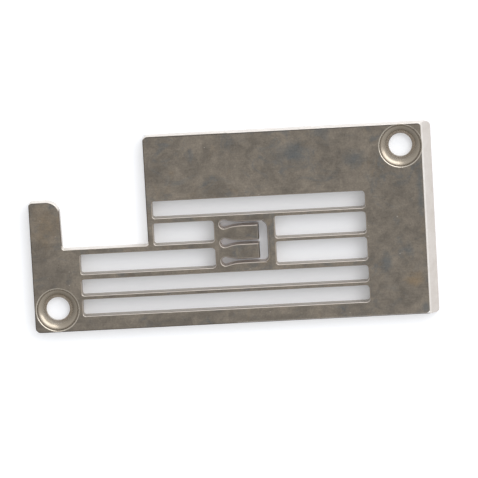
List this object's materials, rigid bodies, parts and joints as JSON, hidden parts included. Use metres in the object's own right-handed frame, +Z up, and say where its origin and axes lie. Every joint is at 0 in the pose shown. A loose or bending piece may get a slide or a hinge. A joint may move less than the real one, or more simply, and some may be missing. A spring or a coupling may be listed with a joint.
{
  "type": "sewing machine needle plate",
  "caption": "Flat steel needle plate for a three-needle sewing machine, with long feed slots, keyhole needle slots and countersunk screw seats.",
  "frame": {"origin": "middle of the plate's plan, on its underside", "axes": "+X along the plate towards its bevelled edge, +Y towards the back edge of the wide block, +Z up out of the top face"},
  "size_m": [0.069, 0.033, 0.0025],
  "materials": {
    "steel": "ground"
  },
  "bodies": {
    "root": {"needle_plate": "steel"}
  },
  "joints": []
}
